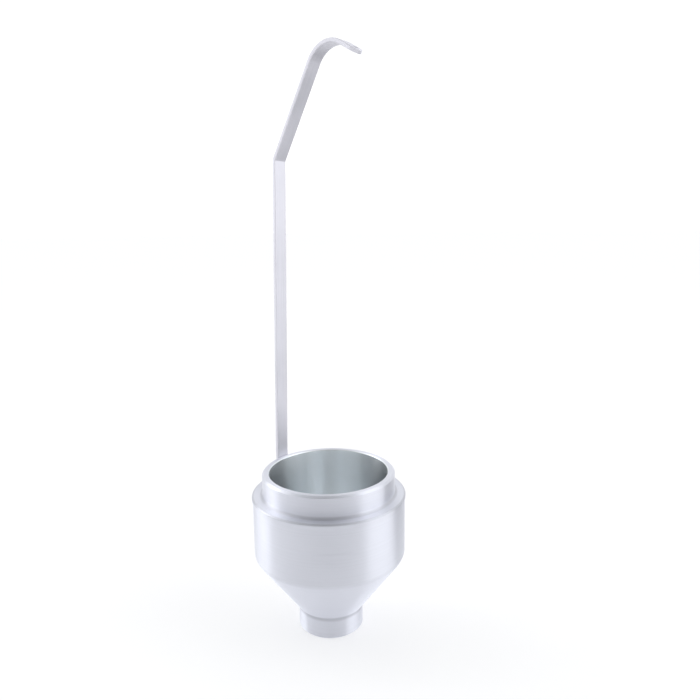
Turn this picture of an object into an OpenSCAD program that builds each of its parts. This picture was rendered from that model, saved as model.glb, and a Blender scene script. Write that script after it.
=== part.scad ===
// Flow cup with a strap handle: a turned cup with a flat-bottomed jet in its boss,
// carried by a bent strap that is screwed to the neck and ends in a hook with a hole.
// +Z is the cup's axis, the origin is on that axis in the plane of the base, and the
// handle stands on the +Y side of the neck. Millimetres.

/* [Cup] */
// Diameter of the measuring bore
bore_d = 50; // [49.5:0.1:50.5]
// Height of the rim above the base
cup_h = 70; // [69:0.5:71]
// Outside diameter of the neck
neck_d = 56; // [55:0.1:56.5]
// Outside diameter of the body
body_d = 64.4; // [62:0.1:65]
// Outside diameter of the collar round the top of the body
collar_d = 65; // [64:0.1:67]
// Height of the collar
collar_h = 1.6; // [1:0.1:2]
// Height of the shoulder ledge above the base
shoulder_z = 60.7; // [59:0.1:61.5]
// Height of the corner between the body and the outer cone
cone_z = 34.2; // [33:0.1:36]
// Outside diameter of the boss
boss_d = 27.8; // [26:0.1:30]
// Height of the boss
boss_h = 9.2; // [8.5:0.1:10]
// Half-angle of the inner cone
inner_half_angle = 45; // [44:0.5:46]

/* [Jet] */
// Diameter of the orifice
orifice_d = 4; // [2:0.5:6]
// Length of the orifice
orifice_len = 4; // [3.5:0.1:4.5]
// Diameter of the jet where it is pressed into the boss
jet_d = 12; // [11:0.5:13]
// Diameter of the jet's flange
flange_d = 16.4; // [15:0.1:17]
// Depth of the drip edge inside the base
drip_recess = 0.4; // [0.2:0.1:0.8]

/* [Handle] */
// Width of the strap
strap_w = 6; // [5:0.1:7]
// Thickness of the strap
strap_t = 1.5; // [1.2:0.1:1.6]
// Length of the upright stretch beside the neck
foot_len = 12.3; // [11:0.1:14]
// Inward lean of the long stretch, in degrees
strap_lean = 1.9; // [0:0.1:2.5]
// Length of the long stretch
long_len = 124.6; // [80:0.1:150]
// Angle of the crease, in degrees
crease_angle = 29.2; // [20:0.1:35]
// Length of the stretch between the crease and the hook
reach_len = 39.9; // [30:0.1:45]
// Inner radius of the hook
hook_r = 10.8; // [8:0.1:14]
// Angle that the hook turns through, in degrees
hook_angle = 90; // [80:5:95]
// Length of the hook's straight end
tab_len = 8; // [7.5:0.1:12]
// Diameter of the hanging hole
hang_hole_d = 3; // [2.5:0.1:3.6]

/* [Fasteners] */
// Nominal diameter of the handle screws
screw_d = 2; // [1.6:0.1:2.2]
// Distance between the handle screws
screw_pitch = 4.2; // [4:0.1:4.4]

/* [Hidden] */
$fn = 96;

bore_r = bore_d / 2;
neck_r = neck_d / 2;
body_r = body_d / 2;
collar_r = collar_d / 2;
boss_r = boss_d / 2;
orifice_r = orifice_d / 2;
jet_r = jet_d / 2;

rim_outer_chamfer = 0.8;
rim_inner_chamfer = 0.3;
shoulder_chamfer = 0.5;
base_chamfer = 0.6;
neck_fillet = 1.5;
corner_round = 4;
boss_fillet = 1.5;

// Slope of the outer cone, as the angle between its side and the axis
cone_turn = atan((body_r - boss_r) / (cone_z - boss_h));
corner_tangent = corner_round * tan(cone_turn / 2);
boss_tangent = boss_fillet * tan(cone_turn / 2);

// The inner cone runs from the top of the orifice to the bore
orifice_top = drip_recess + orifice_len;
inner_cone_h = (bore_r - orifice_r) / tan(inner_half_angle);
jet_top = orifice_top + (jet_r - orifice_r) / tan(inner_half_angle);

counterbore_r = 9;
counterbore_h = 3.6;
flange_t = 1.6;
drip_r = 4;
drip_chamfer = 0.4;

// The strap stands on a flat milled on the neck
flat_depth = 0.3;
flat_y = neck_r - flat_depth;
flat_w = 8.4;
foot_gap = 0.2;
foot_z = shoulder_z + foot_gap;
// Distance from the tip of the hook to the middle of the hanging hole
hang_hole_edge = 3;

// Corners of the strap's inner face, from the crease down to the foot
foot_turn = crease_angle + strap_lean;
lean_corner = turned([0, -long_len], crease_angle);
foot_end = lean_corner + turned([0, -foot_len], foot_turn);

screw_r = screw_d / 2;
screw_clearance = 0.1;
screw_hole_r = screw_r + screw_clearance;
screw_depth = 2;
// Height of the lower screw above the end of the foot
screw_rise = 2.4;
screw_z = foot_z + screw_rise;
head_r = 1.9;
head_h = 1.3;
head_edge = 0.25;
slot_w = 0.5;
slot_depth = 0.6;
over = 1;

// Outline of the cup's outside, in radius and height
module cup_outline() {
    polygon([
        [0, 0],
        [boss_r - base_chamfer, 0],
        [boss_r, base_chamfer],
        [boss_r, boss_h],
        [body_r - corner_tangent * sin(cone_turn), cone_z - corner_tangent * cos(cone_turn)],
        [body_r, cone_z + corner_tangent],
        [body_r, shoulder_z - collar_h],
        [collar_r, shoulder_z - collar_h],
        [collar_r, shoulder_z - shoulder_chamfer],
        [collar_r - shoulder_chamfer, shoulder_z],
        [neck_r, shoulder_z],
        [neck_r, cup_h - rim_outer_chamfer],
        [neck_r - rim_outer_chamfer, cup_h],
        [0, cup_h]
    ]);
    translate([body_r - corner_round, cone_z + corner_tangent]) circle(corner_round);
    neck_fillet_outline();
    boss_fillet_outline();
}

// Fillet between the shoulder ledge and the neck
module neck_fillet_outline() {
    translate([neck_r, shoulder_z]) difference() {
        translate([-over, -over]) square(neck_fillet + over);
        translate([neck_fillet, neck_fillet]) circle(neck_fillet);
        translate([neck_fillet, -2 * over]) square([over, 2 * over]);
    }
}

// Fillet between the boss and the outer cone
module boss_fillet_outline() {
    difference() {
        polygon([
            [boss_r - over, boss_h],
            [boss_r, boss_h - boss_tangent],
            [boss_r + boss_tangent * sin(cone_turn), boss_h + boss_tangent * cos(cone_turn)]
        ]);
        translate([boss_r + boss_fillet, boss_h - boss_tangent]) circle(boss_fillet);
    }
}

// Outline of the space inside the cup, down through the seat of the jet
module cavity_outline() {
    polygon([
        [0, -over],
        [counterbore_r, -over],
        [counterbore_r, counterbore_h],
        [jet_r, counterbore_h],
        [jet_r, jet_top],
        [bore_r, orifice_top + inner_cone_h],
        [bore_r, cup_h - rim_inner_chamfer],
        [bore_r + rim_inner_chamfer + over, cup_h + over],
        [0, cup_h + over]
    ]);
}

// Repeats its children at the two handle screws, with Z pointing out of the strap
module at_screws() {
    for (i = [0, 1]) {
        translate([0, flat_y, screw_z + i * screw_pitch]) rotate([-90, 0, 0]) children();
    }
}

module cup_body() {
    color("lightsteelblue") difference() {
        rotate_extrude() difference() {
            cup_outline();
            cavity_outline();
        }
        translate([-flat_w / 2, flat_y, shoulder_z]) cube([flat_w, neck_fillet + over, cup_h]);
        at_screws() translate([0, 0, -screw_depth]) cylinder(r = screw_r, h = screw_depth + over);
    }
}

module jet() {
    color("silver") rotate_extrude() polygon([
        [orifice_r, drip_recess],
        [drip_r - drip_chamfer, drip_recess],
        [drip_r, drip_recess + drip_chamfer],
        [drip_r, counterbore_h - flange_t],
        [flange_d / 2, counterbore_h - flange_t],
        [flange_d / 2, counterbore_h],
        [jet_r, counterbore_h],
        [jet_r, jet_top],
        [orifice_r, orifice_top]
    ]);
}

// Turns a point of the strap's side view from the frame of another stretch to that of the reach
function turned(p, angle) = [p.x * cos(angle) + p.y * sin(angle), p.y * cos(angle) - p.x * sin(angle)];

// Side view of the strap from its foot to the hook. The inner face of the reach is x = 0,
// and the crease is at the origin.
module strap_outline() {
    polygon([
        [0, reach_len],
        [0, 0],
        lean_corner,
        foot_end,
        foot_end + turned([strap_t, 0], foot_turn),
        lean_corner + turned([strap_t, -strap_t * tan(strap_lean / 2)], crease_angle),
        [strap_t, -strap_t * tan(crease_angle / 2)],
        [strap_t, reach_len]
    ]);
}

// The hook's arc, with its children at its far end
module hook_arc() {
    translate([0, -hook_r, 0]) {
        rotate([0, 90, 0]) rotate([0, 0, 90]) rotate_extrude(angle = hook_angle)
            translate([hook_r, -strap_w / 2]) square([strap_t, strap_w]);
        rotate([hook_angle, 0, 0]) translate([0, hook_r, 0]) children();
    }
}

// The hook's straight end, round at its tip, with the hanging hole
module tab() {
    tip_r = strap_w / 2;
    difference() {
        union() {
            translate([-tip_r, 0, 0]) cube([strap_w, strap_t, tab_len - tip_r]);
            translate([0, 0, tab_len - tip_r]) rotate([-90, 0, 0]) cylinder(r = tip_r, h = strap_t);
        }
        translate([0, -over, tab_len - hang_hole_edge]) rotate([-90, 0, 0])
            cylinder(d = hang_hole_d, h = strap_t + 2 * over);
    }
}

module handle_strap() {
    color("gainsboro") difference() {
        translate([0, flat_y, foot_z]) rotate([foot_turn, 0, 0]) translate([0, -foot_end.x, -foot_end.y]) {
            rotate([90, 0, 90]) linear_extrude(strap_w, center = true) strap_outline();
            translate([0, 0, reach_len]) hook_arc() tab();
        }
        at_screws() translate([0, 0, -over]) cylinder(r = screw_hole_r, h = strap_t + 2 * over);
    }
}

module handle_screws() {
    color("darkgray") at_screws() {
        translate([0, 0, -screw_depth]) cylinder(r = screw_r, h = screw_depth + strap_t);
        translate([0, 0, strap_t]) difference() {
            rotate_extrude() polygon([
                [0, 0],
                [head_r, 0],
                [head_r, head_h - head_edge],
                [head_r - head_edge, head_h],
                [0, head_h]
            ]);
            translate([-head_r - over, -slot_w / 2, head_h - slot_depth])
                cube([2 * (head_r + over), slot_w, slot_depth + over]);
        }
    }
}

cup_body();
jet();
handle_strap();
handle_screws();
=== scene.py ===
"""Looks of the flow cup: turned cup, jet, strap handle and screws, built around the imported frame.

Outlines are in millimetres, as in the part's source, and become metres where a mesh is made.
"""

import math

import bmesh
import bpy
from mathutils import Matrix, Vector


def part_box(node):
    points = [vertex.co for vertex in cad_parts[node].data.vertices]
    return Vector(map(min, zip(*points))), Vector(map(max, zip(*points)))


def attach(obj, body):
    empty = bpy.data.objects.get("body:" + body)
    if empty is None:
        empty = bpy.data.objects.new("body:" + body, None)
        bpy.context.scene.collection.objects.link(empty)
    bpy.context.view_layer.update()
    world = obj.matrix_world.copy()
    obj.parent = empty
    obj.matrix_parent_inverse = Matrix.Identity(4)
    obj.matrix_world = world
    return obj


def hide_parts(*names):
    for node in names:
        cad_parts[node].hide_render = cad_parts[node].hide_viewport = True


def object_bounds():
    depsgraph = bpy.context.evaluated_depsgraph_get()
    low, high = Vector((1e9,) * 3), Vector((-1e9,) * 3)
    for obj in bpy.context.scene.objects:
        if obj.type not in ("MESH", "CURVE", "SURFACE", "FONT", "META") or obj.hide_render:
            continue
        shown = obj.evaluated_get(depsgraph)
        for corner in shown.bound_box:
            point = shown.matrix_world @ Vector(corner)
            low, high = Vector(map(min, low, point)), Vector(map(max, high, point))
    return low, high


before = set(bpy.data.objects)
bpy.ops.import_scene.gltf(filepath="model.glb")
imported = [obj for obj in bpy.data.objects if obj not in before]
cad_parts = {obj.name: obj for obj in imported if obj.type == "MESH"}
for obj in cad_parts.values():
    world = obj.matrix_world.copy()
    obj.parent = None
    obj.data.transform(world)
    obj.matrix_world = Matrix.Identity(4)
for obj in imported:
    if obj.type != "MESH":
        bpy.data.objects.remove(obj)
cad_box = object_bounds()

MM = 0.001
BODY = "root"

# ---------------------------------------------------------------- sizes in millimetres

COLLAR_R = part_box("cup_body")[1].x / MM
COLLAR_STEP = 0.3
COLLAR_H = 1.6
CUP_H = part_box("cup_body")[1].z / MM
BORE_R = 25
NECK_R = 28
BODY_R = COLLAR_R - COLLAR_STEP
SHOULDER_Z = 60.7
CONE_Z = 34.2
BOSS_R = 13.9
BOSS_H = 9.2
SEAT_R = 6
SEAT_TOP = 8.4
COUNTERBORE_R = 9
COUNTERBORE_H = 3.6
FLAT_DEPTH = 0.3
FLAT_Y = NECK_R - FLAT_DEPTH
RIM_CHAMFER = 0.8
BORE_CHAMFER = 0.3
SHOULDER_CHAMFER = 0.5
BASE_CHAMFER = 0.6
NECK_FILLET = 1.5
BODY_ROUND = 4
BOSS_FILLET = 1.5

ORIFICE_R = 2
ORIFICE_LEN = 4
JET_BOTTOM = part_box("jet")[0].z / MM
FLANGE_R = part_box("jet")[1].x / MM
FLANGE_T = 1.6
DRIP_R = 4
DRIP_CHAMFER = 0.4

STRAP_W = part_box("handle_strap")[1].x * 2 / MM
STRAP_T = 1.5
STRAP_FOOT_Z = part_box("handle_strap")[0].z / MM
FOOT_LEN = 12.3
LONG_LEN = 124.6
REACH_LEN = 39.9
TAB_LEN = 8
STRAP_LEAN = math.radians(1.9)
CREASE_ANGLE = math.radians(29.2)
HOOK_ANGLE = math.radians(90)
LEAN_R = 6
CREASE_R = 1.2
HOOK_R = 10.8
HANG_HOLE_R = 1.5


# ---------------------------------------------------------------- mesh tools

def arc_corner(before, corner, after, radius, steps):
    """Points of the round that replaces a corner of an outline."""
    into = (corner - before).normalized()
    out = (after - corner).normalized()
    turn = into.angle_signed(out)
    straight = 1e-6
    if radius == 0 or abs(turn) < straight:
        return [corner]
    trim = radius * math.tan(abs(turn) / 2)
    side = Vector((into.y, -into.x)) * math.copysign(1, turn)
    start = corner - into * trim
    centre = start + side * radius
    points = []
    for i in range(steps + 1):
        angle = turn * i / steps
        spoke = start - centre
        turned = Vector((
            spoke.x * math.cos(angle) + spoke.y * math.sin(angle),
            spoke.y * math.cos(angle) - spoke.x * math.sin(angle),
        ))
        points.append(centre + turned)
    return points


def rounded_outline(corners, steps=5):
    """Closed outline of (radius, height, rounding) corners, as a list of points."""
    spots = [Vector(c[:2]) for c in corners]
    points = []
    for i, (_, _, rounding) in enumerate(corners):
        points += arc_corner(spots[i - 1], spots[i], spots[(i + 1) % len(spots)], rounding, steps)
    return points


def long_runs_split(points, longest):
    """Adds points along the straight runs of a closed outline, so that no step is over the longest."""
    out = []
    for i, point in enumerate(points):
        following = points[(i + 1) % len(points)]
        pieces = max(1, math.ceil((following - point).length / longest))
        out += [point.lerp(following, k / pieces) for k in range(pieces)]
    return out


def new_object(name, mesh, material, node):
    """Links a finished mesh as the piece that stands for a CAD node."""
    piece = bpy.data.objects.new(name, mesh)
    bpy.context.scene.collection.objects.link(piece)
    mesh.materials.clear()
    mesh.materials.append(material)
    for face in mesh.polygons:
        face.use_smooth = True
    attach(piece, BODY)
    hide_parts(node)
    return piece


def weighted_normals(piece):
    """Keeps flat faces flat beside their rounded edges."""
    modifier = piece.modifiers.new("normals", "WEIGHTED_NORMAL")
    modifier.mode = "FACE_AREA"
    modifier.weight = 100


def lathe(name, outline, segments):
    """Mesh of a closed outline turned about the Z axis, in metres."""
    rings = len(outline)
    vertices = []
    for s in range(segments):
        angle = 2 * math.pi * s / segments
        for point in outline:
            vertices.append((
                point.x * math.sin(angle) * MM,
                point.x * math.cos(angle) * MM,
                point.y * MM,
            ))
    faces = []
    for s in range(segments):
        following = (s + 1) % segments
        for k in range(rings):
            above = (k + 1) % rings
            faces.append((
                s * rings + k,
                s * rings + above,
                following * rings + above,
                following * rings + k,
            ))
    mesh = bpy.data.meshes.new(name)
    mesh.from_pydata(vertices, [], faces)
    work = bmesh.new()
    work.from_mesh(mesh)
    bmesh.ops.recalc_face_normals(work, faces=work.faces)
    work.to_mesh(mesh)
    work.free()
    return mesh


# ---------------------------------------------------------------- material tools

# Noise rarely leaves this range
NOISE_LOW = 0.3
NOISE_HIGH = 0.7


class Nodes:
    """Short ways to build one material's node tree."""

    def __init__(self, name):
        self.material = bpy.data.materials.new(name)
        self.material.use_nodes = True
        self.tree = self.material.node_tree
        self.shader = self.tree.nodes["Principled BSDF"]

    def add(self, kind, settings=None, **inputs):
        """Adds a node, with its settings and what goes into its inputs."""
        node = self.tree.nodes.new(kind)
        for key, value in (settings or {}).items():
            setattr(node, key, value)
        for key, value in inputs.items():
            self.feed(node.inputs[key.replace("_", " ")], value)
        return node

    def feed(self, socket, value):
        """Links another node's output to an input, or sets a plain value on it."""
        if isinstance(value, bpy.types.NodeSocket):
            self.tree.links.new(value, socket)
        else:
            socket.default_value = value

    def math(self, operation, a, b=0.0):
        node = self.tree.nodes.new("ShaderNodeMath")
        node.operation = operation
        self.feed(node.inputs[0], a)
        self.feed(node.inputs[1], b)
        return node.outputs[0]

    def span(self, value, low, high, to_low, to_high):
        """Maps a value's range onto another, and clamps it."""
        node = self.add("ShaderNodeMapRange")
        node.clamp = True
        for socket, number in zip(node.inputs, (value, low, high, to_low, to_high)):
            self.feed(socket, number)
        return node.outputs["Result"]

    def line_noise(self, along, per_metre, detail=2.0):
        """Noise that changes only along one measure, with so many grains to the metre."""
        scaled = self.math("MULTIPLY", along, per_metre)
        node = self.add("ShaderNodeTexNoise", {"noise_dimensions": "1D"}, W=scaled, Scale=1.0, Detail=detail)
        return node.outputs["Fac"]

    def cloud(self, vector, scale, detail=3.0):
        """Soft noise in three dimensions."""
        node = self.add("ShaderNodeTexNoise", None, Vector=vector, Scale=scale, Detail=detail)
        return node.outputs["Fac"]

    def mix(self, factor, a, b, blend="MIX"):
        """Blends colour b over colour a."""
        node = self.add("ShaderNodeMix", {"data_type": "RGBA", "blend_type": blend})
        self.feed(node.inputs["Factor"], factor)
        self.feed(node.inputs[6], a)
        self.feed(node.inputs[7], b)
        return node.outputs[2]

    def bump(self, height, distance, normal=None):
        """Bumps as high as the distance where the height is 1, on top of another bump if one is given."""
        node = self.add("ShaderNodeBump", None, Height=height, Distance=distance, Strength=1.0)
        if normal is not None:
            self.feed(node.inputs["Normal"], normal)
        return node.outputs["Normal"]

    def object_point(self):
        """The shaded point in the object's own metres."""
        return self.add("ShaderNodeTexCoord").outputs["Object"]


def distance_from_axis(m, parts):
    """Distance of the object's point from the Z axis."""
    across = m.math("POWER", parts.outputs["X"], 2.0)
    back = m.math("POWER", parts.outputs["Y"], 2.0)
    return m.math("SQRT", m.math("ADD", across, back))


def faces_axis(m, parts):
    """1 where the surface faces the Z axis, as it does inside a bore or a cone, and 0 elsewhere."""
    flat_point = m.add("ShaderNodeCombineXYZ", None, X=parts.outputs["X"], Y=parts.outputs["Y"])
    outward = m.add("ShaderNodeVectorMath", {"operation": "DOT_PRODUCT"})
    m.feed(outward.inputs[0], flat_point.outputs["Vector"])
    m.feed(outward.inputs[1], m.add("ShaderNodeNewGeometry").outputs["Normal"])
    # The product is the radius in metres times the cosine between the surface's normal and the way out
    fully_inward = -0.003
    barely_inward = -0.001
    return m.span(outward.outputs["Value"], fully_inward, barely_inward, 1.0, 0.0)


def with_painted_shade_rings(m, colour, radius, height, shade_rings):
    """Darkens a colour round circles about the Z axis, given as (radius, height, reach, depth): painted
    shade.
    """
    # Colour of the painted shade
    shade_colour = (0.1, 0.1, 0.11, 1)
    # Share of the reach that keeps the full depth
    core = 0.3
    for ring_radius, ring_height, reach, depth in shade_rings:
        aside = m.math("SUBTRACT", radius, ring_radius * MM)
        above = m.math("SUBTRACT", height, ring_height * MM)
        squares = m.math("ADD", m.math("POWER", aside, 2.0), m.math("POWER", above, 2.0))
        ring = m.span(m.math("SQRT", squares), core * reach * MM, reach * MM, depth, 0.0)
        colour = m.mix(ring, colour, shade_colour)
    return colour


def turned_metal(name, low, high, inner_tint_and_painted_light, roughness, inner_roughness, groove, shade_rings=()):
    """Metal from the lathe: fine rings about the axis, a stretched highlight, and smoother insides."""
    m = Nodes(name)
    point = m.object_point()
    parts = m.add("ShaderNodeSeparateXYZ", None, Vector=point)
    radius = distance_from_axis(m, parts)
    inside = faces_axis(m, parts)

    # Turning rings of two widths, handling smudges and fine scratches
    fine_rings_per_metre = 5200.0
    coarse_rings_per_metre = 900.0
    smudge_scale = 38.0
    scratch_scale = 900.0
    along = m.math("ADD", radius, parts.outputs["Z"])
    fine = m.line_noise(along, fine_rings_per_metre, 3.0)
    coarse = m.line_noise(along, coarse_rings_per_metre, 2.0)
    smudge = m.cloud(point, smudge_scale, 4.0)
    scratch = m.cloud(point, scratch_scale, 2.0)
    rings = m.math("ADD", m.math("MULTIPLY", fine, 0.6), m.math("MULTIPLY", coarse, 0.4))

    # The insides keep only the middle of the tone's range
    inner_least = 0.42
    inner_most = 0.58
    tone = m.math("ADD", m.math("MULTIPLY", rings, 0.55), m.math("MULTIPLY", smudge, 0.45))
    least = m.span(inside, 0.0, 1.0, 0.0, inner_least)
    most = m.span(inside, 0.0, 1.0, 1.0, inner_most)
    outer_tone = m.mix(m.span(tone, NOISE_LOW, NOISE_HIGH, least, most), low, high)
    # Inside, the colour is tinted and lifted above 1: painted light that brightens the bore
    bore_tint_and_painted_light = m.mix(inside, (1, 1, 1, 1), inner_tint_and_painted_light)
    colour = m.mix(1.0, outer_tone, bore_tint_and_painted_light, "MULTIPLY")
    # Painted shade round the given circles
    colour = with_painted_shade_rings(m, colour, radius, parts.outputs["Z"], shade_rings)
    m.feed(m.shader.inputs["Base Color"], colour)
    m.shader.inputs["Metallic"].default_value = 1.0

    # The insides keep a tenth of the roughness spread and of the bumps
    inner_share = 0.1
    calm = m.span(inside, 0.0, 1.0, 1.0, inner_share)
    rough = m.math("ADD", m.math("MULTIPLY", smudge, 0.6), m.math("MULTIPLY", coarse, 0.4))
    base = m.span(inside, 0.0, 1.0, roughness, inner_roughness)
    smoother = -0.04
    rougher = 0.05
    spread = m.math("MULTIPLY", m.span(rough, NOISE_LOW, NOISE_HIGH, smoother, rougher), calm)
    m.feed(m.shader.inputs["Roughness"], m.math("ADD", base, spread))

    # Highlights stretch across the turning rings
    quarter_turn = 0.25
    m.shader.inputs["Anisotropic"].default_value = 1.0
    m.shader.inputs["Anisotropic Rotation"].default_value = quarter_turn
    tangent = m.add("ShaderNodeTangent", {"direction_type": "RADIAL", "axis": "Z"})
    m.feed(m.shader.inputs["Tangent"], tangent.outputs["Tangent"])
    scratch_share = 0.15
    ringed = m.bump(m.math("MULTIPLY", rings, calm), groove)
    scratched = m.bump(m.math("MULTIPLY", scratch, calm), groove * scratch_share, ringed)
    m.feed(m.shader.inputs["Normal"], scratched)
    return m.material


def brushed_metal(name, low, high, roughness, blank_map):
    """Strip metal brushed along its length, which follows the strap round its bends."""
    hairs_along = 28.0
    hairs_across = 2600.0
    hair_height = 0.000006
    m = Nodes(name)
    point = m.object_point()
    blank = m.add("ShaderNodeUVMap", {"uv_map": blank_map}).outputs["UV"]
    parts = m.add("ShaderNodeSeparateXYZ", None, Vector=blank)
    long_way = m.math("MULTIPLY", parts.outputs["X"], hairs_along)
    wide_way = m.math("MULTIPLY", parts.outputs["Y"], hairs_across)
    hair_spot = m.add("ShaderNodeCombineXYZ", None, X=long_way, Y=wide_way)
    hairs = m.cloud(hair_spot.outputs["Vector"], 1.0, 4.0)
    smudge = m.cloud(point, 55.0, 4.0)
    tone = m.math("ADD", m.math("MULTIPLY", hairs, 0.5), m.math("MULTIPLY", smudge, 0.5))
    m.feed(m.shader.inputs["Base Color"], m.mix(m.span(tone, NOISE_LOW, NOISE_HIGH, 0.0, 1.0), low, high))
    m.shader.inputs["Metallic"].default_value = 1.0
    smoothest = roughness - 0.05
    roughest = roughness + 0.06
    m.feed(m.shader.inputs["Roughness"], m.span(tone, NOISE_LOW, NOISE_HIGH, smoothest, roughest))

    # Highlights stretch along the strap, which matches its tone in the photograph
    m.shader.inputs["Anisotropic"].default_value = 0.6
    m.shader.inputs["Anisotropic Rotation"].default_value = 0.0
    tangent = m.add("ShaderNodeTangent", {"direction_type": "UV_MAP", "uv_map": blank_map})
    m.feed(m.shader.inputs["Tangent"], tangent.outputs["Tangent"])
    m.feed(m.shader.inputs["Normal"], m.bump(hairs, hair_height))
    return m.material


def plain_steel(name, low, high, roughness):
    """Small steel parts with light handling marks."""
    mark_scale = 700.0
    mark_height = 0.000008
    m = Nodes(name)
    point = m.object_point()
    marks = m.cloud(point, mark_scale, 4.0)
    m.feed(m.shader.inputs["Base Color"], m.mix(m.span(marks, 0.35, 0.65, 0.0, 1.0), low, high))
    m.shader.inputs["Metallic"].default_value = 1.0
    roughest = roughness + 0.12
    m.feed(m.shader.inputs["Roughness"], m.span(marks, NOISE_LOW, NOISE_HIGH, roughness, roughest))
    m.feed(m.shader.inputs["Normal"], m.bump(marks, mark_height))
    return m.material


BLANK_MAP = "blank"

# Painted shade round circles at the foot of the neck, the collar's edge and the top of the boss, where the
# photograph has dark lines: radius and height of the circle, reach and depth of the shade
COLLAR_RING_INSET = 0.2
PAINTED_SHADE_RINGS = [
    (NECK_R, SHOULDER_Z, 1.4, 0.35),
    (COLLAR_R - COLLAR_RING_INSET, SHOULDER_Z - COLLAR_RING_INSET, 0.8, 0.22),
    (BOSS_R, BOSS_H, 1.5, 0.25),
]

# The inner tint is above 1: painted light that brightens the bore as in the photograph, on top of its tint
ALUMINIUM = turned_metal(
    name="turned_aluminium",
    low=(0.71, 0.725, 0.79, 1),
    high=(0.785, 0.80, 0.87, 1),
    inner_tint_and_painted_light=(1.13, 1.155, 1.09, 1),
    roughness=0.40,
    inner_roughness=0.26,
    groove=0.000004,
    shade_rings=PAINTED_SHADE_RINGS,
)
JET_STEEL = turned_metal(
    name="polished_steel",
    low=(0.62, 0.62, 0.63, 1),
    high=(0.74, 0.74, 0.74, 1),
    inner_tint_and_painted_light=(1, 1, 1, 1),
    roughness=0.14,
    inner_roughness=0.14,
    groove=0.000002,
)
STRAP_STEEL = brushed_metal(
    name="strap_steel",
    low=(0.60, 0.60, 0.65, 1),
    high=(0.73, 0.725, 0.78, 1),
    roughness=0.5,
    blank_map=BLANK_MAP,
)
SCREW_STEEL = plain_steel(
    name="screw_steel",
    low=(0.42, 0.42, 0.43, 1),
    high=(0.60, 0.60, 0.61, 1),
    roughness=0.25,
)


# ---------------------------------------------------------------- cup and jet

def make_cup():
    """The turned cup, with the flat for the strap on its neck."""
    chamfer_edge = 0.12
    broken_edge = 0.1
    bore_edge = 0.08
    cone_corner = 0.3
    seat_edge = 0.05
    corners = [
        (COUNTERBORE_R, 0, broken_edge),
        (BOSS_R - BASE_CHAMFER, 0, chamfer_edge),
        (BOSS_R, BASE_CHAMFER, chamfer_edge),
        (BOSS_R, BOSS_H, BOSS_FILLET),
        (BODY_R, CONE_Z, BODY_ROUND),
        (BODY_R, SHOULDER_Z - COLLAR_H, broken_edge),
        (COLLAR_R, SHOULDER_Z - COLLAR_H, chamfer_edge),
        (COLLAR_R, SHOULDER_Z - SHOULDER_CHAMFER, chamfer_edge),
        (COLLAR_R - SHOULDER_CHAMFER, SHOULDER_Z, chamfer_edge),
        (NECK_R, SHOULDER_Z, NECK_FILLET),
        (NECK_R, CUP_H - RIM_CHAMFER, chamfer_edge),
        (NECK_R - RIM_CHAMFER, CUP_H, chamfer_edge),
        (BORE_R + BORE_CHAMFER, CUP_H, bore_edge),
        (BORE_R, CUP_H - BORE_CHAMFER, bore_edge),
        (BORE_R, SEAT_TOP + BORE_R - SEAT_R, cone_corner),
        (SEAT_R, SEAT_TOP, seat_edge),
        (SEAT_R, COUNTERBORE_H, 0),
        (COUNTERBORE_R, COUNTERBORE_H, 0),
    ]
    longest_run = 3
    segments = 360
    outline = long_runs_split(rounded_outline(corners), longest_run)
    mesh = lathe("cup_body_turned", outline, segments)
    for vertex in mesh.vertices:
        if vertex.co.z > SHOULDER_Z * MM and vertex.co.y > FLAT_Y * MM:
            vertex.co.y = FLAT_Y * MM
    cup = new_object("cup_body_turned", mesh, ALUMINIUM, "cup_body")
    weighted_normals(cup)
    return cup


def make_jet():
    """The pressed-in jet, with its flange, drip edge and orifice."""
    orifice_edge = 0.08
    drip_edge = 0.06
    flange_fillet = 0.2
    flange_edge = 0.12
    seat_edge = 0.05
    top = JET_BOTTOM + ORIFICE_LEN
    corners = [
        (ORIFICE_R, JET_BOTTOM, orifice_edge),
        (DRIP_R - DRIP_CHAMFER, JET_BOTTOM, drip_edge),
        (DRIP_R, JET_BOTTOM + DRIP_CHAMFER, drip_edge),
        (DRIP_R, COUNTERBORE_H - FLANGE_T, flange_fillet),
        (FLANGE_R, COUNTERBORE_H - FLANGE_T, flange_edge),
        (FLANGE_R, COUNTERBORE_H, 0),
        (SEAT_R, COUNTERBORE_H, 0),
        (SEAT_R, SEAT_TOP, seat_edge),
        (ORIFICE_R, top, orifice_edge),
    ]
    longest_run = 2
    segments = 144
    outline = long_runs_split(rounded_outline(corners), longest_run)
    mesh = lathe("jet_turned", outline, segments)
    jet = new_object("jet_turned", mesh, JET_STEEL, "jet")
    weighted_normals(jet)
    return jet


# ---------------------------------------------------------------- strap handle

def strap_stretches():
    """The strap's inner face as stretches of (length, turn, inner radius), from foot to tip."""
    lean_trim = LEAN_R * math.tan(STRAP_LEAN / 2)
    crease_trim = CREASE_R * math.tan(CREASE_ANGLE / 2)
    return [
        (FOOT_LEN - lean_trim, 0, 0),
        (LEAN_R * STRAP_LEAN, STRAP_LEAN, LEAN_R),
        (LONG_LEN - lean_trim - crease_trim, 0, 0),
        (CREASE_R * CREASE_ANGLE, CREASE_ANGLE, CREASE_R),
        (REACH_LEN - crease_trim, 0, 0),
        (HOOK_R * HOOK_ANGLE, HOOK_ANGLE, HOOK_R),
        (TAB_LEN, 0, 0),
    ]


def strap_rows(tip_region):
    """Distances along the flat blank where its mesh has a row, up to the region round the hole."""
    straight_step = 2.5
    bend_step = math.radians(4)
    rows = [0.0]
    start = 0.0
    stretches = strap_stretches()
    for i, (length, turn, _) in enumerate(stretches):
        if i == len(stretches) - 1:
            length -= tip_region
        count = math.ceil(turn / bend_step) if turn else math.ceil(length / straight_step)
        rows += [start + length * k / count for k in range(1, count + 1)]
        start += length
    return rows


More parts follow.
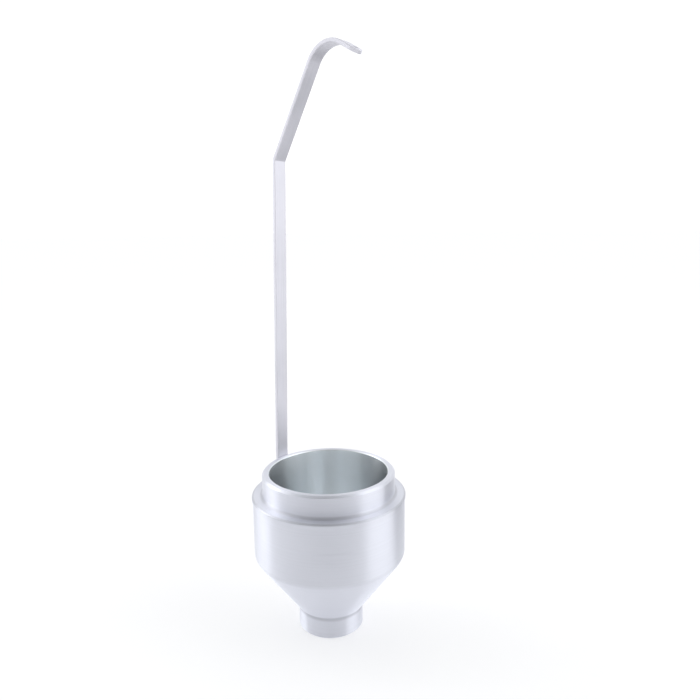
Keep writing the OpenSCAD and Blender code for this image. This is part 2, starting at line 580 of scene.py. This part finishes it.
def on_strap(distance, depth):
    """(Y, Z) in millimetres of a point of the strap: distance along the blank, depth from the inner face."""
    y, z, heading = FLAT_Y, STRAP_FOOT_Z, 0.0
    stretches = strap_stretches()
    for i, (length, turn, radius) in enumerate(stretches):
        last = i == len(stretches) - 1
        here = distance if last else min(distance, length)
        if turn:
            angle = turn * here / length
            centre_y = y - radius * math.cos(heading)
            centre_z = z - radius * math.sin(heading)
            heading += angle
            y = centre_y + radius * math.cos(heading)
            z = centre_z + radius * math.sin(heading)
        else:
            y -= here * math.sin(heading)
            z += here * math.cos(heading)
        distance -= here
        if distance <= 0:
            break
    return y + depth * math.cos(heading), z + depth * math.sin(heading)


def flat_blank():
    """The strap before it is bent: X along it, Y across it, Z from its inner face, with the hanging hole."""
    half = STRAP_W / 2
    around = 64
    ring_count = 4
    rows = strap_rows(2 * half)
    hole_x = rows[-1] + half
    quarter = around // 8
    across = [half * math.tan(2 * math.pi * k / around) for k in range(-quarter, quarter + 1)]
    work = bmesh.new()
    grid = [[work.verts.new((x, y, 0)) for y in across] for x in rows]
    for low, high in zip(grid, grid[1:]):
        for k in range(len(across) - 1):
            work.faces.new((low[k], high[k], high[k + 1], low[k + 1]))
    rings = []
    for n in range(ring_count + 1):
        ring = []
        for a in range(around):
            angle = 2 * math.pi * a / around
            if math.cos(angle) >= 0:
                reach = half
            else:
                reach = half / max(abs(math.cos(angle)), abs(math.sin(angle)))
            r = HANG_HOLE_R + (reach - HANG_HOLE_R) * n / ring_count
            ring.append(work.verts.new((hole_x + r * math.cos(angle), r * math.sin(angle), 0)))
        rings.append(ring)
    for inner, outer in zip(rings, rings[1:]):
        for a in range(around):
            b = (a + 1) % around
            work.faces.new((inner[a], outer[a], outer[b], inner[b]))
    bmesh.ops.remove_doubles(work, verts=work.verts, dist=0.001)
    bmesh.ops.recalc_face_normals(work, faces=work.faces)
    sharp = math.radians(60)
    edge_break = 0.22
    solid = bmesh.ops.extrude_face_region(work, geom=work.faces[:])
    lifted = [item for item in solid["geom"] if isinstance(item, bmesh.types.BMVert)]
    bmesh.ops.translate(work, verts=lifted, vec=(0, 0, STRAP_T))
    bmesh.ops.recalc_face_normals(work, faces=work.faces)
    edges = [e for e in work.edges if len(e.link_faces) == 2 and e.calc_face_angle() > sharp]
    bmesh.ops.bevel(
        work, geom=edges, offset=edge_break, segments=3, profile=0.5, affect="EDGES", clamp_overlap=True)
    return work


def make_strap():
    """Bends the flat blank along the strap's path."""
    work = flat_blank()
    blank = work.loops.layers.uv.new(BLANK_MAP)
    for face in work.faces:
        for loop in face.loops:
            loop[blank].uv = (loop.vert.co.x * MM, (loop.vert.co.y + loop.vert.co.z) * MM)
    for vertex in work.verts:
        y, z = on_strap(vertex.co.x, vertex.co.z)
        vertex.co = Vector((vertex.co.y, y, z)) * MM
    bmesh.ops.recalc_face_normals(work, faces=work.faces)
    mesh = bpy.data.meshes.new("handle_strap_bent")
    work.to_mesh(mesh)
    work.free()
    strap = new_object("handle_strap_bent", mesh, STRAP_STEEL, "handle_strap")
    weighted_normals(strap)
    return strap


# ---------------------------------------------------------------- screws

def make_screws():
    """The two slotted screws, from a copy of the CAD's mesh, with their edges broken."""
    same_spot = 0.002
    same_plane = math.radians(1)
    sharp = math.radians(30)
    edge_break = 0.06
    work = bmesh.new()
    work.from_mesh(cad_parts["handle_screws"].data)
    bmesh.ops.remove_doubles(work, verts=work.verts, dist=same_spot * MM)
    bmesh.ops.dissolve_limit(work, angle_limit=same_plane, verts=work.verts, edges=work.edges)
    edges = [e for e in work.edges if len(e.link_faces) == 2 and e.calc_face_angle() > sharp]
    bmesh.ops.bevel(
        work, geom=edges, offset=edge_break * MM, segments=2, profile=0.5, affect="EDGES", clamp_overlap=True)
    mesh = bpy.data.meshes.new("handle_screws_slotted")
    work.to_mesh(mesh)
    work.free()
    screws = new_object("handle_screws_slotted", mesh, SCREW_STEEL, "handle_screws")
    weighted_normals(screws)
    return screws


# ---------------------------------------------------------------- stage, light and camera

STUDIO_WHITE = (0.985, 0.99, 1.0, 1)


def make_floor():
    """A large pale floor under the boss, with a glow of its own that keeps it near white."""
    side = 40.0
    work = bmesh.new()
    bmesh.ops.create_grid(work, x_segments=8, y_segments=8, size=side / 2)
    mesh = bpy.data.meshes.new("floor")
    work.to_mesh(mesh)
    work.free()
    m = Nodes("pale_floor")
    m.shader.inputs["Base Color"].default_value = (0.55, 0.55, 0.55, 1)
    m.shader.inputs["Roughness"].default_value = 0.9
    m.shader.inputs["Specular IOR Level"].default_value = 0.0
    m.shader.inputs["Emission Color"].default_value = STUDIO_WHITE
    m.shader.inputs["Emission Strength"].default_value = 0.475
    mesh.materials.append(m.material)
    floor = bpy.data.objects.new("floor", mesh)
    bpy.context.scene.collection.objects.link(floor)
    floor.location.z = cad_box[0][2]


# The camera, fitted to the photograph: places in metres, the lens in millimetres
# Bearing of the camera from the cup's axis, turned from -Y towards -X
CAMERA_BEARING = math.radians(47.25)
CAMERA_DISTANCE = 0.2571
CAMERA_HEIGHT = 0.1703
CAMERA_DOWN = math.radians(10.755)
CAMERA_PAN = math.radians(2.165)
CAMERA_ROLL = math.radians(-0.71)
CAMERA_LENS = 32.94
SENSOR_WIDTH = 36


def from_camera(bearing, up=0.0):
    """Unit vector at a bearing in degrees to the camera's right of the way from the cup to the camera."""
    angle = CAMERA_BEARING - math.radians(bearing)
    flat = Vector((-math.sin(angle), -math.cos(angle), up))
    return flat.normalized()


def make_camera():
    """The camera, placed by its bearing from the cup, its pan, its tilt and its roll."""
    data = bpy.data.cameras.new("camera")
    data.lens = CAMERA_LENS
    data.sensor_width = SENSOR_WIDTH
    data.clip_start = 0.01
    data.clip_end = 100
    camera = bpy.data.objects.new("camera", data)
    bpy.context.scene.collection.objects.link(camera)
    heading = CAMERA_BEARING + CAMERA_PAN
    ahead = Vector((
        math.sin(heading) * math.cos(CAMERA_DOWN),
        math.cos(heading) * math.cos(CAMERA_DOWN),
        -math.sin(CAMERA_DOWN),
    ))
    right = Vector((math.cos(heading), -math.sin(heading), 0))
    up = right.cross(ahead)
    rolled_right = right * math.cos(CAMERA_ROLL) + up * math.sin(CAMERA_ROLL)
    rolled_up = up * math.cos(CAMERA_ROLL) - right * math.sin(CAMERA_ROLL)
    place = Matrix.Identity(4)
    for row in range(3):
        place[row][0] = rolled_right[row]
        place[row][1] = rolled_up[row]
        place[row][2] = -ahead[row]
    spot = from_camera(0) * CAMERA_DISTANCE
    place.translation = Vector((spot.x, spot.y, CAMERA_HEIGHT))
    camera.matrix_world = place
    bpy.context.scene.camera = camera


def make_world():
    """Soft studio surroundings: white all round, a strip of light on each side, dimmer above the front."""
    all_round = 1.11
    left_strength = 1.5
    right_strength = 1.05
    front_top_dimming = 1.05
    height_falloff = 0.8
    world = bpy.data.worlds.new("studio")
    bpy.context.scene.world = world
    world.use_nodes = True
    tree = world.node_tree

    def measure(operation, a, b=0.0, c=0.0):
        node = tree.nodes.new("ShaderNodeMath")
        node.operation = operation
        for socket, value in zip(node.inputs, (a, b, c)):
            if isinstance(value, bpy.types.NodeSocket):
                tree.links.new(value, socket)
            else:
                socket.default_value = value
        return node.outputs[0]

    def vector_math(operation, a, b=(0, 0, 0)):
        node = tree.nodes.new("ShaderNodeVectorMath")
        node.operation = operation
        tree.links.new(a, node.inputs[0])
        node.inputs[1].default_value = b
        return node.outputs

    def facing(way, centre, sharpness):
        """1 towards the centre, falling to 0 at right angles to it."""
        towards = vector_math("DOT_PRODUCT", way, centre)["Value"]
        return measure("POWER", measure("MAXIMUM", towards, 0.0), sharpness)

    def strip(way, bearing, half_width, softness):
        """1 within an upright band of bearings, in degrees, with soft sides."""
        node = tree.nodes.new("ShaderNodeMapRange")
        node.interpolation_type = "SMOOTHSTEP"
        tree.links.new(vector_math("DOT_PRODUCT", way, from_camera(bearing))["Value"], node.inputs["Value"])
        node.inputs["From Min"].default_value = math.cos(math.radians(half_width + softness))
        node.inputs["From Max"].default_value = math.cos(math.radians(half_width - softness))
        return node.outputs["Result"]

    way = tree.nodes.new("ShaderNodeTexCoord").outputs["Generated"]
    level = vector_math("MULTIPLY", way, (1, 1, 0))["Vector"]
    compass = vector_math("NORMALIZE", level)["Vector"]
    # 1 at the horizon and 0 overhead
    low = measure("POWER", vector_math("LENGTH", level)["Value"], height_falloff)
    left = strip(compass, bearing=-111, half_width=14, softness=9)
    right = strip(compass, bearing=78, half_width=22, softness=9)
    front_top = facing(way, from_camera(-12, up=2.4), sharpness=4)
    total = measure("MULTIPLY_ADD", measure("MULTIPLY", left, low), left_strength, all_round)
    total = measure("MULTIPLY_ADD", measure("MULTIPLY", right, low), right_strength, total)
    total = measure("MULTIPLY_ADD", front_top, -front_top_dimming, total)
    background = tree.nodes["Background"]
    tree.links.new(total, background.inputs["Strength"])
    background.inputs["Color"].default_value = STUDIO_WHITE


def make_dark_card():
    """A dark card just above the floor, to the camera's right, which only reflections show.

    It gives the reach of the handle its darker tone.
    """
    near = 0.15
    far = 0.60
    inner = 0.03
    outer = 0.28
    above_floor = 0.002
    side = from_camera(92)
    back = from_camera(182)
    corners = [side * a + back * b for a, b in ((near, inner), (far, inner), (far, outer), (near, outer))]
    mesh = bpy.data.meshes.new("dark_card")
    mesh.from_pydata([(c.x, c.y, above_floor) for c in corners], [], [(0, 1, 2, 3)])
    m = Nodes("dark_card")
    m.shader.inputs["Base Color"].default_value = (0.2, 0.2, 0.21, 1)
    m.shader.inputs["Roughness"].default_value = 1.0
    mesh.materials.append(m.material)
    card = bpy.data.objects.new("dark_card", mesh)
    bpy.context.scene.collection.objects.link(card)
    card.visible_camera = False
    card.visible_diffuse = False
    card.visible_shadow = False


def make_top_light():
    """One large soft box overhead."""
    height = 1.2
    data = bpy.data.lights.new("top_light", "AREA")
    data.shape = "DISK"
    data.size = 0.9
    data.energy = 1.0
    light = bpy.data.objects.new("top_light", data)
    light.location = (0, 0, height)
    bpy.context.scene.collection.objects.link(light)


make_cup()
make_jet()
make_strap()
make_screws()
make_floor()
make_camera()
make_world()
make_dark_card()
make_top_light()
bpy.context.scene.view_settings.view_transform = "Standard"
